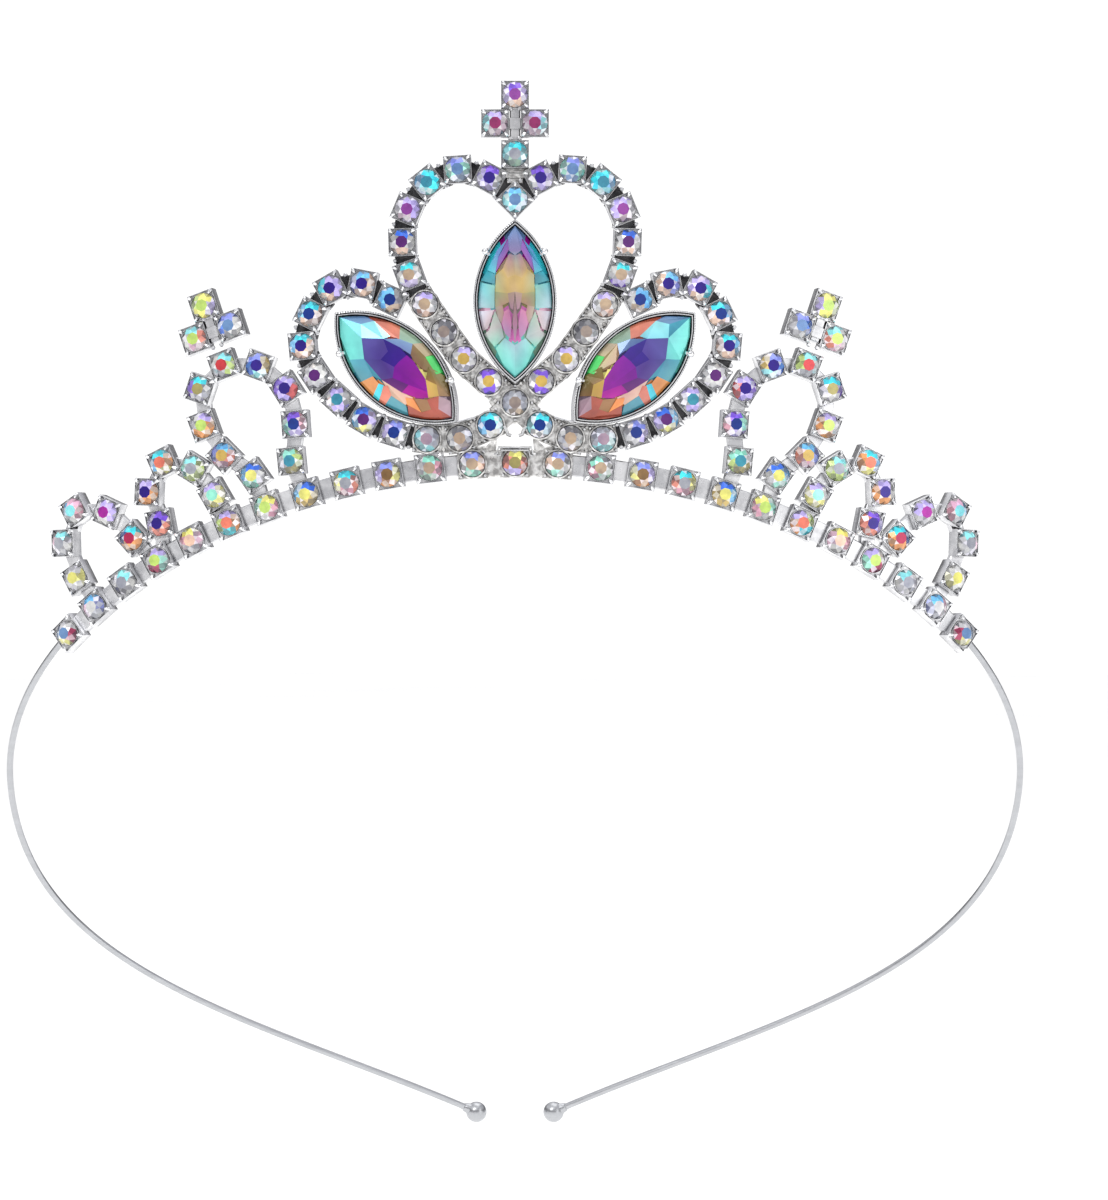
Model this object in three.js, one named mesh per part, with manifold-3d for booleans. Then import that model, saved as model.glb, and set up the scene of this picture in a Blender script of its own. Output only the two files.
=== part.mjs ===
// A bridal tiara: chains of square stone cups and three marquise settings, soldered upright on a
// sprung wire headband that ends in two small balls.
// Millimetres. +X is to the right seen from the front, +Y runs back over the head, +Z is up, and the
// origin is the middle of the headband wire at the front.
import * as THREE from "three";
import { mergeVertices } from "three/addons/utils/BufferGeometryUtils.js";
import Module from "manifold-3d";

const wasm = await Module();
wasm.setup();

// Driving dimensions. Outlines are lists of [x, z] handles in the front elevation, right-hand side.
const GAP = 0.3; // between pieces that touch on the real tiara
const HOOP_TILT = 30; // degrees that the hoop leans back from upright
const HOOP_FRONT = [[0, 0], [35, 0], [70.5, -20], [70.5, -43.5]]; // Bezier handles, middle to widest
const HOOP_BACK = [[70.5, -43.5], [70.5, -72], [36, -79], [6, -93]]; // widest to the wire's end
const WIRE = { diameter: 0.9, sides: 6, step: 4.5 };
const BALL = { diameter: 3, bore: 1.4, depth: 1.4 };
const BASE = { halfWidth: 61, cups: 25, cupWidth: 3.8, overrun: 2.6 };
const CUP = { width: 3.5, depth: 2, socket: 3.2, socketDepth: 0.6 };
const TAB = { width: 2, thickness: 0.6, overlap: 0.5 };
const STONE = { girdle: 2.85, table: 1.7, crown: 0.85, pavilion: 0.4, sides: 8 };
const MARQUISE = { length: 21, width: 10.6, rim: 0.8, depth: 3, front: 0.7, pocket: 2 };
const MARQUISE_STONE = { clearance: 0.35, bevel: 1.5, crown: 1.2, girdle: 0.4, lift: 0.3 };
const PRONG = { diameter: 1.1, along: 0.62 };
const CROSS = { reach: 2.65, top: 3.8, foot: 4.1, barWidth: 1.4 };

// Every chain runs between two soldered ends, with its cups spread evenly between them.
const CHAINS = {
  outer_arch: {
    line: [
      [57, -19.5], [59.3, -16.1], [61.6, -11.2], [60.9, -6.6],
      [55.8, -6.2], [51.3, -10.5], [48.6, -13.9],
    ],
    cups: 5,
  },
  middle_arch: {
    line: [
      [47.9, -12.2], [47.8, -8.4], [49.7, -4.2], [47.8, 0.2],
      [43.2, -0.7], [40.4, -4.3], [38.7, -8.5],
    ],
    cups: 5,
  },
  inner_arch: {
    line: [
      [33.9, -6.3], [34.8, -2], [38.6, 0.5], [42.2, 5.9], [41.7, 12],
      [35.7, 13.5], [30.8, 10.2], [29.4, 4.6], [30, 0], [28.5, -4.4],
    ],
    cups: 9,
  },
  crown_loop: {
    line: [
      [14, 21.2], [16.9, 21.6], [20.2, 24], [25.4, 23], [28.6, 16.6],
      [26, 10.9], [19.1, 5.5], [11.4, 3.8], [7.4, 4], [0, 7.6],
    ],
    cups: 12,
  },
};
const HEART = {
  line: [
    [0, 35], [3.4, 37.9], [7.4, 39.1], [11.8, 37.3], [15, 31.8],
    [13.9, 24.5], [10.2, 18.6], [6.6, 13.6], [0, 8],
  ],
  cups: 10,
  cornerTurn: 45, // degrees, of the cusp cup and the crossing cup
};
const TOP_CROSS = { at: [0, 45.2], lean: 0 };
const SIDE_CROSS = { at: [40.7, 17.7], lean: 19 };
const CENTRE_MARQUISE = { at: [0, 21.45], lean: 0 };
const SIDE_MARQUISE = { at: [15.9, 13.1], lean: 48 };

const SILVER = new THREE.MeshStandardMaterial({ color: 0xc9ccd1, roughness: 0.22, metalness: 1 });
const WIRE_METAL = new THREE.MeshStandardMaterial({ color: 0xb4b6b9, roughness: 0.35, metalness: 1 });
const ROUND_GLASS = new THREE.MeshStandardMaterial({ color: 0xa9c9dc, roughness: 0.05, metalness: 0.3 });
const VIOLET_GLASS = new THREE.MeshStandardMaterial({ color: 0x7a4fa8, roughness: 0.05, metalness: 0.3 });
const GOLD_GLASS = new THREE.MeshStandardMaterial({ color: 0xb89a6a, roughness: 0.05, metalness: 0.3 });

const SIDES = { right: 1, left: -1 };
const LEAN = Math.tan(THREE.MathUtils.degToRad(HOOP_TILT));
const WIRE_BEHIND_FACE = CUP.depth + GAP + WIRE.diameter / 2;

// --- The curved face that the stones stand on: upright everywhere, bowed back like the hoop ---

const vectors = (points) => points.map(([x, z]) => new THREE.Vector2(x, z));
const frontCurve = new THREE.CubicBezierCurve(...vectors(HOOP_FRONT));
const backCurve = new THREE.CubicBezierCurve(...vectors(HOOP_BACK));

// The hoop's height at a distance x from the middle, found by halving.
function hoopHeight(x) {
  let low = 0;
  let high = 1;
  for (let i = 0; i < 32; i++) {
    const middle = (low + high) / 2;
    if (frontCurve.getPoint(middle).x < Math.abs(x)) low = middle;
    else high = middle;
  }
  return frontCurve.getPoint(low).y;
}

const facePoint = (x, z) => new THREE.Vector3(x, -hoopHeight(x) * LEAN - WIRE_BEHIND_FACE, z);

function faceNormal(x) {
  const step = 0.01;
  const slope = (facePoint(x + step, 0).y - facePoint(x - step, 0).y) / (2 * step);
  return new THREE.Vector3(slope, -1, 0).normalize();
}

// A place on the face: its X runs along the chain, its Z points out at the viewer.
function placeOnFace(point, ahead, turn = 0) {
  const out = faceNormal(point.x);
  const across = new THREE.Vector3().crossVectors(out, ahead).normalize();
  const along = new THREE.Vector3().crossVectors(across, out);
  const place = new THREE.Matrix4().makeBasis(along, across, out).setPosition(point);
  return place.multiply(new THREE.Matrix4().makeRotationZ(THREE.MathUtils.degToRad(turn)));
}

// An upright place for a flat piece, leaning in the face by some degrees.
const placeFlat = ({ at: [x, z], lean }, side) =>
  placeOnFace(facePoint(side * x, z), new THREE.Vector3(1, 0, 0), -side * lean);

// Points spread evenly along a line, measured over the bowed face.
function spread(line, count) {
  const onFace = line.map(({ x, y }) => facePoint(x, y));
  return new THREE.CatmullRomCurve3(onFace).getSpacedPoints(count - 1);
}

const handLine = (line, side) =>
  new THREE.SplineCurve(vectors(line.map(([x, z]) => [side * x, z]))).getPoints(160);

function placesAlong(points, turn = 0) {
  return points.slice(1, -1).map((point, i) => {
    const ahead = new THREE.Vector3().subVectors(points[i + 2], points[i]);
    return placeOnFace(point, ahead, turn);
  });
}

// --- Solids ---

// A manifold solid from a three.js geometry, moved to a place.
function solidOf(geometry, place = new THREE.Matrix4()) {
  const bare = geometry.clone().applyMatrix4(place);
  bare.deleteAttribute("normal");
  bare.deleteAttribute("uv");
  const merged = mergeVertices(bare, 1e-4);
  const mesh = new wasm.Mesh({
    numProp: 3,
    vertProperties: merged.attributes.position.array,
    triVerts: new Uint32Array(merged.index.array),
  });
  return new wasm.Manifold(mesh);
}

const joined = (solids) => solids.reduce((all, next) => all.add(next));

function meshOf(name, solid, material) {
  const { vertProperties, triVerts } = solid.getMesh();
  const geometry = new THREE.BufferGeometry();
  geometry.setAttribute("position", new THREE.BufferAttribute(vertProperties, 3));
  geometry.setIndex(new THREE.BufferAttribute(triVerts, 1));
  geometry.computeVertexNormals();
  const mesh = new THREE.Mesh(geometry, material);
  mesh.name = name;
  return mesh;
}

const cupBlock = (width) => new THREE.BoxGeometry(width, width, CUP.depth).translate(0, 0, -CUP.depth / 2);

// An eight-sided prism or taper with flats square to the cup, standing on z = bottom.
function octagon(topAcross, bottomAcross, height, bottom) {
  return new THREE.CylinderGeometry(topAcross / 2, bottomAcross / 2, height, STONE.sides)
    .rotateY(Math.PI / STONE.sides)
    .rotateX(Math.PI / 2)
    .translate(0, 0, bottom + height / 2);
}

// An open cup: its stone is a node of its own.
function openCup(place, width) {
  const socket = octagon(CUP.socket, CUP.socket, CUP.socketDepth + 1, -CUP.socketDepth);
  return solidOf(cupBlock(width), place).subtract(solidOf(socket, place));
}

// A cup with its stone's crown joined on.
function filledCup(place, width) {
  const sunk = 0.2;
  const crown = octagon(STONE.table, STONE.girdle, STONE.crown + sunk, -sunk);
  return solidOf(cupBlock(width), place).add(solidOf(crown, place));
}

// The flat strip that joins two neighbouring cups at their backs.
function tab(from, to, width) {
  const start = new THREE.Vector3().setFromMatrixPosition(from);
  const end = new THREE.Vector3().setFromMatrixPosition(to);
  const ahead = new THREE.Vector3().subVectors(end, start);
  const middle = new THREE.Vector3().addVectors(start, end).divideScalar(2);
  const length = ahead.length() - width + 2 * TAB.overlap;
  const strip = new THREE.BoxGeometry(length, TAB.width, TAB.thickness);
  strip.translate(0, 0, -CUP.depth + 0.2 + TAB.thickness / 2);
  return solidOf(strip, placeOnFace(middle, ahead));
}

// A strip of cups, one at each place, closed into a loop if asked.
function cupChain(places, width, cup, closed = false) {
  const cups = places.map((place) => cup(place, width));
  const pairs = places.slice(1).map((place, i) => [places[i], place]);
  if (closed) pairs.push([places.at(-1), places[0]]);
  return joined([...cups, ...pairs.map(([from, to]) => tab(from, to, width))]);
}

function stoneGeometry() {
  const girdle = STONE.girdle / 2;
  const profile = [[0, -STONE.pavilion], [girdle, 0.05], [STONE.table / 2, STONE.crown], [0, STONE.crown]];
  const points = profile.map(([r, z]) => new THREE.Vector2(r, z));
  const stone = new THREE.LatheGeometry(points, STONE.sides);
  return stone.rotateY(Math.PI / STONE.sides).rotateX(Math.PI / 2);
}

function roundStone(name, place) {
  return meshOf(name, solidOf(stoneGeometry(), place), ROUND_GLASS);
}

// A pointed oval made of two arcs, its long axis upright.
function marquiseShape(length, width, arcSteps) {
  const half = length / 2;
  const radius = (half * half + (width * width) / 4) / width;
  const centre = radius - width / 2;
  const sweep = Math.asin(half / radius);
  const points = [];
  for (const side of [1, -1]) {
    for (let i = 0; i < arcSteps; i++) {
      const angle = sweep * ((2 * i) / arcSteps - 1);
      points.push([side * (radius * Math.cos(angle) - centre), side * radius * Math.sin(angle)]);
    }
  }
  return new THREE.Shape(vectors(points));
}

// The setting: a walled tray with a pocket for the stone, and small ball prongs on its rim.
function marquiseSetting(place) {
  const { length, width, rim, depth, front, pocket } = MARQUISE;
  const outline = marquiseShape(length, width, 10);
  const inside = marquiseShape(length - 2.6 * rim, width - 2 * rim, 10);
  const wall = new THREE.ExtrudeGeometry(outline, { depth: depth + front, bevelEnabled: false });
  const hollow = new THREE.ExtrudeGeometry(inside, { depth: pocket + 2 * front, bevelEnabled: false });
  wall.translate(0, 0, -depth);
  hollow.translate(0, 0, -pocket);
  const tray = solidOf(wall, place).subtract(solidOf(hollow, place));
  const prongs = [];
  for (const side of [1, -1]) {
    const prong = new THREE.IcosahedronGeometry(PRONG.diameter / 2, 0);
    prong.translate((side * width * PRONG.along) / 2 + side * 0.9, length / 4, front);
    prongs.push(solidOf(prong, place));
  }
  return joined([tray, ...prongs]);
}

// The faceted marquise: crown and pavilion taper from a thin girdle.
function marquiseStone(name, place, material) {
  const { clearance, bevel, crown, girdle, lift } = MARQUISE_STONE;
  const { length, width, rim } = MARQUISE;
  const inset = 2 * (bevel + clearance);
  const table = marquiseShape(length - 2.6 * rim - 1.35 * inset, width - 2 * rim - inset, 8);
  const stone = new THREE.ExtrudeGeometry(table, {
    depth: girdle,
    bevelThickness: crown,
    bevelSize: bevel,
    bevelSegments: 1,
  });
  return meshOf(name, solidOf(stone.translate(0, 0, lift - girdle), place), material);
}

// A flat cross of cups round a small plus-shaped bar.
function crossFrame(place, withFoot) {
  const spots = crossSpots(place, withFoot);
  const bottom = withFoot ? -CROSS.foot : -CROSS.foot / 2 + CUP.width / 4;
  const upright = new THREE.BoxGeometry(CROSS.barWidth, CROSS.top - bottom, CUP.depth - GAP);
  upright.translate(0, (CROSS.top + bottom) / 2, -CUP.depth / 2 - GAP / 2);
  const crossbar = new THREE.BoxGeometry(2 * CROSS.reach, CROSS.barWidth, CUP.depth - GAP);
  crossbar.translate(0, 0, -CUP.depth / 2 - GAP / 2);
  const bars = solidOf(upright, place).add(solidOf(crossbar, place));
  const sockets = spots.map((spot) => {
    const socket = octagon(CUP.socket, CUP.socket, CUP.socketDepth + 1, -CUP.socketDepth);
    return solidOf(socket, spot);
  });
  const blocks = spots.map((spot) => solidOf(cupBlock(CUP.width), spot));
  return joined([bars, ...blocks]).subtract(joined(sockets));
}

function crossSpots(place, withFoot) {
  const spots = [[0, CROSS.top], [CROSS.reach, 0], [-CROSS.reach, 0]];
  if (withFoot) spots.push([0, -CROSS.foot]);
  return spots.map(([x, y]) => place.clone().multiply(new THREE.Matrix4().makeTranslation(x, y, 0)));
}

// --- The headband ---

// A piece of the wire: a many-sided rod along the points.
function wireRod(points) {
  const path = new THREE.CatmullRomCurve3(points);
  const section = new THREE.Shape();
  for (let i = 0; i < WIRE.sides; i++) {
    const angle = (2 * Math.PI * i) / WIRE.sides;
    const corner = [Math.cos(angle), Math.sin(angle)].map((c) => (c * WIRE.diameter) / 2);
    if (i === 0) section.moveTo(...corner);
    else section.lineTo(...corner);
  }
  const steps = Math.round(path.getLength() / WIRE.step);
  return solidOf(new THREE.ExtrudeGeometry(section, { extrudePath: path, steps, bevelEnabled: false }));
}

// Behind the chain the wire keeps clear of the cups' backs, however far the face has turned.
function wireBehind(x, z) {
  const point = facePoint(x, z);
  point.y += WIRE_BEHIND_FACE / -faceNormal(x).y;
  return point;
}

const railEnd = BASE.halfWidth + BASE.overrun * -faceNormal(BASE.halfWidth).y;
const armOffset = WIRE_BEHIND_FACE / -faceNormal(railEnd).y - WIRE_BEHIND_FACE;

function railPoints() {
  const count = 48;
  return Array.from({ length: count + 1 }, (_, i) => {
    const x = railEnd * ((2 * i) / count - 1);
    return wireBehind(x, hoopHeight(x));
  });
}

// The free arm: from just past the rail's end, round the widest point, to the ball.
function armPoints(side) {
  const start = railEnd + GAP * -faceNormal(railEnd).y;
  const front = frontCurve.getPoints(80).filter((p) => p.x > start);
  const first = new THREE.Vector2(start, hoopHeight(start));
  const back = backCurve.getPoints(40).slice(1);
  return [first, ...front, ...back].map(
    ({ x, y }) => new THREE.Vector3(side * x, -y * LEAN + armOffset, y),
  );
}

// The ball is bored for the wire's end.
function endBall(name, side) {
  const [before, end] = armPoints(side).slice(-2);
  const outwards = new THREE.Vector3().subVectors(end, before).normalize();
  const centre = end.clone().addScaledVector(outwards, BALL.diameter / 2 - BALL.depth + GAP);
  const place = new THREE.Matrix4().makeRotationFromQuaternion(
    new THREE.Quaternion().setFromUnitVectors(new THREE.Vector3(0, 1, 0), outwards),
  );
  place.setPosition(centre);
  const bore = new THREE.CylinderGeometry(BALL.bore / 2, BALL.bore / 2, BALL.depth + 1, 8);
  bore.translate(0, -BALL.diameter / 2 + BALL.depth - (BALL.depth + 1) / 2, 0);
  const ball = solidOf(new THREE.IcosahedronGeometry(BALL.diameter / 2, 1), place);
  return meshOf(name, ball.subtract(solidOf(bore, place)), WIRE_METAL);
}

// --- Assembly ---

const tiara = new THREE.Group();

tiara.add(meshOf("headband_front_rail", wireRod(railPoints()), WIRE_METAL));

const baseLine = Array.from({ length: 121 }, (_, i) => {
  const x = BASE.halfWidth * (i / 60 - 1);
  return new THREE.Vector2(x, hoopHeight(x));
});
const basePoints = spread(baseLine, BASE.cups);
const beyond = (inner, outer) => outer.clone().multiplyScalar(2).sub(inner);
const basePlaces = placesAlong([
  beyond(basePoints[1], basePoints[0]),
  ...basePoints,
  beyond(basePoints.at(-2), basePoints.at(-1)),
]);
tiara.add(meshOf("base_cup_chain", cupChain(basePlaces, BASE.cupWidth, filledCup), SILVER));

// The heart: the cusp cup, one flank of cups, the crossing cup, and the other flank back up.
const upAxis = new THREE.Vector3(0, 0, 1);
const flankPlaces = (side) => placesAlong(spread(handLine(HEART.line, side), HEART.cups + 2));
const cuspPlace = placeOnFace(facePoint(...HEART.line[0]), upAxis, HEART.cornerTurn);
const crossingPlace = placeOnFace(facePoint(...HEART.line.at(-1)), upAxis, HEART.cornerTurn);
const heartPlaces = [
  cuspPlace,
  ...flankPlaces(SIDES.right),
  crossingPlace,
  ...flankPlaces(SIDES.left).reverse(),
];
tiara.add(meshOf("heart_cup_chain", cupChain(heartPlaces, CUP.width, openCup, true), SILVER));
heartPlaces.forEach((place, i) => tiara.add(roundStone(`heart_stone_${i + 1}`, place)));

const topPlace = placeFlat(TOP_CROSS, SIDES.right);
tiara.add(meshOf("top_cross", crossFrame(topPlace, true), SILVER));
crossSpots(topPlace, true).forEach((spot, i) => {
  tiara.add(roundStone(`top_cross_stone_${i + 1}`, spot));
});

const centrePlace = placeFlat(CENTRE_MARQUISE, SIDES.right);
tiara.add(meshOf("centre_marquise_setting", marquiseSetting(centrePlace), SILVER));
tiara.add(marquiseStone("centre_marquise_stone", centrePlace, GOLD_GLASS));

for (const [sideName, side] of Object.entries(SIDES)) {
  const half = new THREE.Group();
  tiara.add(half);

  for (const [chainName, { line, cups }] of Object.entries(CHAINS)) {
    const places = placesAlong(spread(handLine(line, side), cups + 2));
    half.add(meshOf(`${sideName}_${chainName}`, cupChain(places, CUP.width, filledCup), SILVER));
  }

  const crossPlace = placeFlat(SIDE_CROSS, side);
  half.add(meshOf(`${sideName}_cross`, crossFrame(crossPlace, false), SILVER));
  crossSpots(crossPlace, false).forEach((spot, i) => {
    half.add(roundStone(`${sideName}_cross_stone_${i + 1}`, spot));
  });

  const sidePlace = placeFlat(SIDE_MARQUISE, side);
  half.add(meshOf(`${sideName}_marquise_setting`, marquiseSetting(sidePlace), SILVER));
  half.add(marquiseStone(`${sideName}_marquise_stone`, sidePlace, VIOLET_GLASS));

  half.add(meshOf(`${sideName}_headband_arm`, wireRod(armPoints(side)), WIRE_METAL));
  half.add(endBall(`${sideName}_end_ball`, side));
}

export default tiara;
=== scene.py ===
"""The looks of a bridal tiara: claw cups, faceted glass stones, marquise settings and the sprung wire.

Lengths are millimetres in the part's own frame until mesh_object() turns them into metres.
+X is to the right seen from the front, +Y runs back over the head and +Z is up.
"""

import math
import random

import bpy
import numpy as np
from mathutils import Matrix, Vector


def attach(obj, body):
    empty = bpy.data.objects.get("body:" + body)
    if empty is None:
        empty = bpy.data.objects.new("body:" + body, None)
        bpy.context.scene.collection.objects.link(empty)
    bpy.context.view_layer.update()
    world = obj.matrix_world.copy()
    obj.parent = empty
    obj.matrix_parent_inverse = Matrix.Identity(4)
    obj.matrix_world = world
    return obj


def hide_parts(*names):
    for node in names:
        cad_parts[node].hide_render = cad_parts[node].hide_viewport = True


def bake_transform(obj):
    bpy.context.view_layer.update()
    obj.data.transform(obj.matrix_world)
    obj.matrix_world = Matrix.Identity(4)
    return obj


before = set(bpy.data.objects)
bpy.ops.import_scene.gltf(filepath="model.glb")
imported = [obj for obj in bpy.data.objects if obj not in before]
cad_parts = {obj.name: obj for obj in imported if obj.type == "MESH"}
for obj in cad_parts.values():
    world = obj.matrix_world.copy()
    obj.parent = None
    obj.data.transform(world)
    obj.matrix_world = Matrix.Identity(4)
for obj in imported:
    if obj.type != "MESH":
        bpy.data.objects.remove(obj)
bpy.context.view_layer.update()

MM = 0.001
SIDES = {"right": 1, "left": -1}

# --- The tiara's layout, as in the CAD part ---

HOOP_TILT = 30
HOOP_FRONT = [(0, 0), (35, 0), (70.5, -20), (70.5, -43.5)]
HOOP_BACK = [(70.5, -43.5), (70.5, -72), (36, -79), (6, -93)]
WIRE_DIAMETER = 0.9
GAP = 0.3
BALL = {"diameter": 3, "depth": 1.4}
BASE = {"half_width": 61, "cups": 25, "overrun": 2.6}
CUP_DEPTH = 2.0
CUP_WIDTH = 3.75
BASE_CUP_WIDTH = 3.95
CROSS = {"reach": 2.65, "top": 3.8, "foot": 4.1, "bar": 1.4, "short_foot": 1.3}

CHAINS = {
    "outer_arch": {
        "line": [
            (57, -19.5), (59.3, -16.1), (61.6, -11.2), (60.9, -6.6), (55.8, -6.2), (51.3, -10.5),
            (48.6, -13.9),
        ],
        "cups": 5,
    },
    "middle_arch": {
        "line": [
            (47.9, -12.6), (47.8, -8.6), (49.7, -4.2), (47.8, 0.2), (43.2, -0.7), (40.4, -4.3),
            (38.7, -8.5),
        ],
        "cups": 5,
    },
    "inner_arch": {
        "line": [
            (33.9, -6.3), (34.8, -2), (38.6, 0.5), (42.2, 5.9), (41.7, 12),
            (35.7, 13.5), (30.8, 10.2), (29.4, 4.6), (30, 0), (28.5, -4.4),
        ],
        "cups": 9,
    },
    "crown_loop": {
        "line": [
            (12.5, 20.2), (15.8, 21.2), (19.7, 23.8), (25.2, 23), (28.5, 16.5),
            (26, 10.9), (19.1, 5.2), (11.4, 3.1), (6.9, 3.4), (-0.7, 7),
        ],
        "cups": 12,
    },
}
HEART = {
    "line": [
        (0, 35), (3.4, 37.9), (7.4, 39.1), (11.8, 37.3), (15, 31.8), (13.9, 24.5), (10.2, 18.6),
        (6.6, 13.6), (0, 8),
    ],
    "cups": 10,
    "corner_turn": 45,
}
TOP_CROSS = {"at": (0, 45.2), "lean": 0}
SIDE_CROSS = {"at": (40.7, 17.7), "lean": 19}
CENTRE_MARQUISE = {"at": (0, 21.45), "lean": 0}
SIDE_MARQUISE = {"at": (15.9, 12.7), "lean": 48}

LEAN = math.tan(math.radians(HOOP_TILT))
BEHIND = CUP_DEPTH + GAP + WIRE_DIAMETER / 2
STEPS = 160


def bezier(handles, t):
    a, b, c, d = (np.array(h, float) for h in handles)
    u = 1 - t
    return u**3 * a + 3 * u * u * t * b + 3 * u * t * t * c + t**3 * d


def hoop_height(x):
    low, high = 0.0, 1.0
    for _ in range(32):
        middle = (low + high) / 2
        if bezier(HOOP_FRONT, middle)[0] < abs(x):
            low = middle
        else:
            high = middle
    return bezier(HOOP_FRONT, low)[1]


def face_point(x, z):
    return Vector((x, -hoop_height(x) * LEAN - BEHIND, z))


def face_normal(x):
    step = 0.01
    slope = (face_point(x + step, 0).y - face_point(x - step, 0).y) / (2 * step)
    return Vector((slope, -1, 0)).normalized()


def basis(along, across, out, point):
    columns = Matrix((along, across, out)).transposed().to_4x4()
    columns.translation = point
    return columns


def place_on_face(point, ahead, turn=0):
    """A place on the face: its X runs along the chain and its Z points out at the viewer."""
    out = face_normal(point.x)
    across = out.cross(ahead).normalized()
    place = basis(across.cross(out), across, out, point)
    return place @ Matrix.Rotation(math.radians(turn), 4, "Z")


def place_flat(spot, side):
    x, z = spot["at"]
    return place_on_face(face_point(side * x, z), Vector((1, 0, 0)), -side * spot["lean"])


def hand_line(line, side):
    """A smooth curve through the handles, in the front elevation."""
    points = [np.array((side * x, z), float) for x, z in line]
    last = len(points) - 1
    smooth = []
    for i in range(STEPS + 1):
        place = last * i / STEPS
        k = min(int(place), last - 1)
        t = place - k
        before, start, end, after = (points[min(max(k + j, 0), last)] for j in (-1, 0, 1, 2))
        leave = (end - before) / 2
        arrive = (after - start) / 2
        bend = (2 * start - 2 * end + leave + arrive) * t**3
        swing = (3 * end - 3 * start - 2 * leave - arrive) * t**2
        smooth.append(bend + swing + leave * t + start)
    return smooth


def spread(line, count):
    """Points spread evenly along a line, measured over the bowed face."""
    wrapped = np.array([face_point(x, z) for x, z in line])
    steps = np.linalg.norm(np.diff(wrapped, axis=0), axis=1)
    reached = np.concatenate([[0], np.cumsum(steps)])
    wanted = np.linspace(0, reached[-1], count)
    columns = [np.interp(wanted, reached, wrapped[:, i]) for i in range(3)]
    return [Vector(p) for p in zip(*columns)]


def places_along(points):
    triples = zip(points, points[1:], points[2:])
    return [place_on_face(here, after - before) for before, here, after in triples]


def base_places():
    half = BASE["half_width"]
    line = [(x, hoop_height(x)) for x in np.linspace(-half, half, 121)]
    points = spread(line, BASE["cups"])
    first = points[0] * 2 - points[1]
    last = points[-1] * 2 - points[-2]
    return places_along([first, *points, last])


def chain_places(name, side):
    chain = CHAINS[name]
    return places_along(spread(hand_line(chain["line"], side), chain["cups"] + 2))


def heart_places():
    """The cusp cup, the right flank downwards, the crossing cup, and the left flank back up."""
    up = Vector((0, 0, 1))
    flanks = {s: places_along(spread(hand_line(HEART["line"], s), HEART["cups"] + 2)) for s in (1, -1)}
    cusp = place_on_face(face_point(*HEART["line"][0]), up, HEART["corner_turn"])
    crossing = place_on_face(face_point(*HEART["line"][-1]), up, HEART["corner_turn"])
    return [cusp, *flanks[1], crossing, *reversed(flanks[-1])]


def cross_spots(place, with_foot):
    spots = [(0, CROSS["top"]), (CROSS["reach"], 0), (-CROSS["reach"], 0)]
    if with_foot:
        spots.append((0, -CROSS["foot"]))
    return [place @ Matrix.Translation((x, y, 0)) for x, y in spots]


def wire_behind(x, z):
    point = face_point(x, z)
    point.y += BEHIND / -face_normal(x).y
    return point


RAIL_END = BASE["half_width"] + BASE["overrun"] * -face_normal(BASE["half_width"]).y
ARM_OFFSET = BEHIND / -face_normal(RAIL_END).y - BEHIND


def arm_points(side):
    front = [bezier(HOOP_FRONT, i / STEPS) for i in range(STEPS + 1)]
    back = [bezier(HOOP_BACK, 2 * i / STEPS) for i in range(1, STEPS // 2 + 1)]
    line = [(RAIL_END, hoop_height(RAIL_END)), *[p for p in front if p[0] > RAIL_END], *back]
    return [Vector((side * x, -z * LEAN + ARM_OFFSET, z)) for x, z in line]


# --- Meshes are gathered as points, faces, a material index for each face and a tint for each face ---


class Gathered:
    """One piece's mesh while it is being put together, in millimetres."""

    def __init__(self):
        self.points = []
        self.faces = []
        self.materials = []
        self.tints = []

    def add(self, points, faces, material=0, place=None, tints=None):
        first = len(self.points)
        self.points += [place @ Vector(p) if place is not None else Vector(p) for p in points]
        self.faces += [[first + i for i in face] for face in faces]
        given = material if isinstance(material, list) else [material] * len(faces)
        self.materials += given
        self.tints += tints if tints is not None else [(1.0, 1.0, 1.0)] * len(faces)

    def ring_loft(self, rings, material=0, place=None):
        """Joins equal rings with quads and closes both ends; material may be a list, one a band."""
        count = len(rings[0])
        points = [p for ring in rings for p in ring]
        bands = material if isinstance(material, list) else [material] * (len(rings) - 1)
        faces = []
        for start in range(0, len(bands) * count, count):
            for i in range(count):
                j = (i + 1) % count
                faces.append([start + i, start + j, start + count + j, start + count + i])
        faces.append(list(reversed(range(count))))
        faces.append([len(bands) * count + i for i in range(count)])
        banded = [band for band in bands for _ in range(count)]
        self.add(points, faces, [*banded, bands[0], bands[-1]], place)


def mesh_object(name, gathered, materials, smooth_angle=None):
    mesh = bpy.data.meshes.new(name)
    mesh.from_pydata([tuple(p * MM) for p in gathered.points], [], gathered.faces)
    for material in materials:
        mesh.materials.append(material)
    mesh.polygons.foreach_set("material_index", gathered.materials)
    tint = mesh.attributes.new("facet_tint", "FLOAT_COLOR", "CORNER")
    values = []
    for face, colour in zip(gathered.faces, gathered.tints):
        corners = colour if isinstance(colour, list) else [colour] * len(face)
        for r, g, b in corners:
            values += [r, g, b, 1.0]
    tint.data.foreach_set("color", values)
    if smooth_angle is not None:
        mesh.shade_smooth()
        mesh.set_sharp_from_angle(angle=math.radians(smooth_angle))
    mesh.update()
    made = bpy.data.objects.new(name, mesh)
    bpy.context.scene.collection.objects.link(made)
    return made


# --- Colours ---

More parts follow.
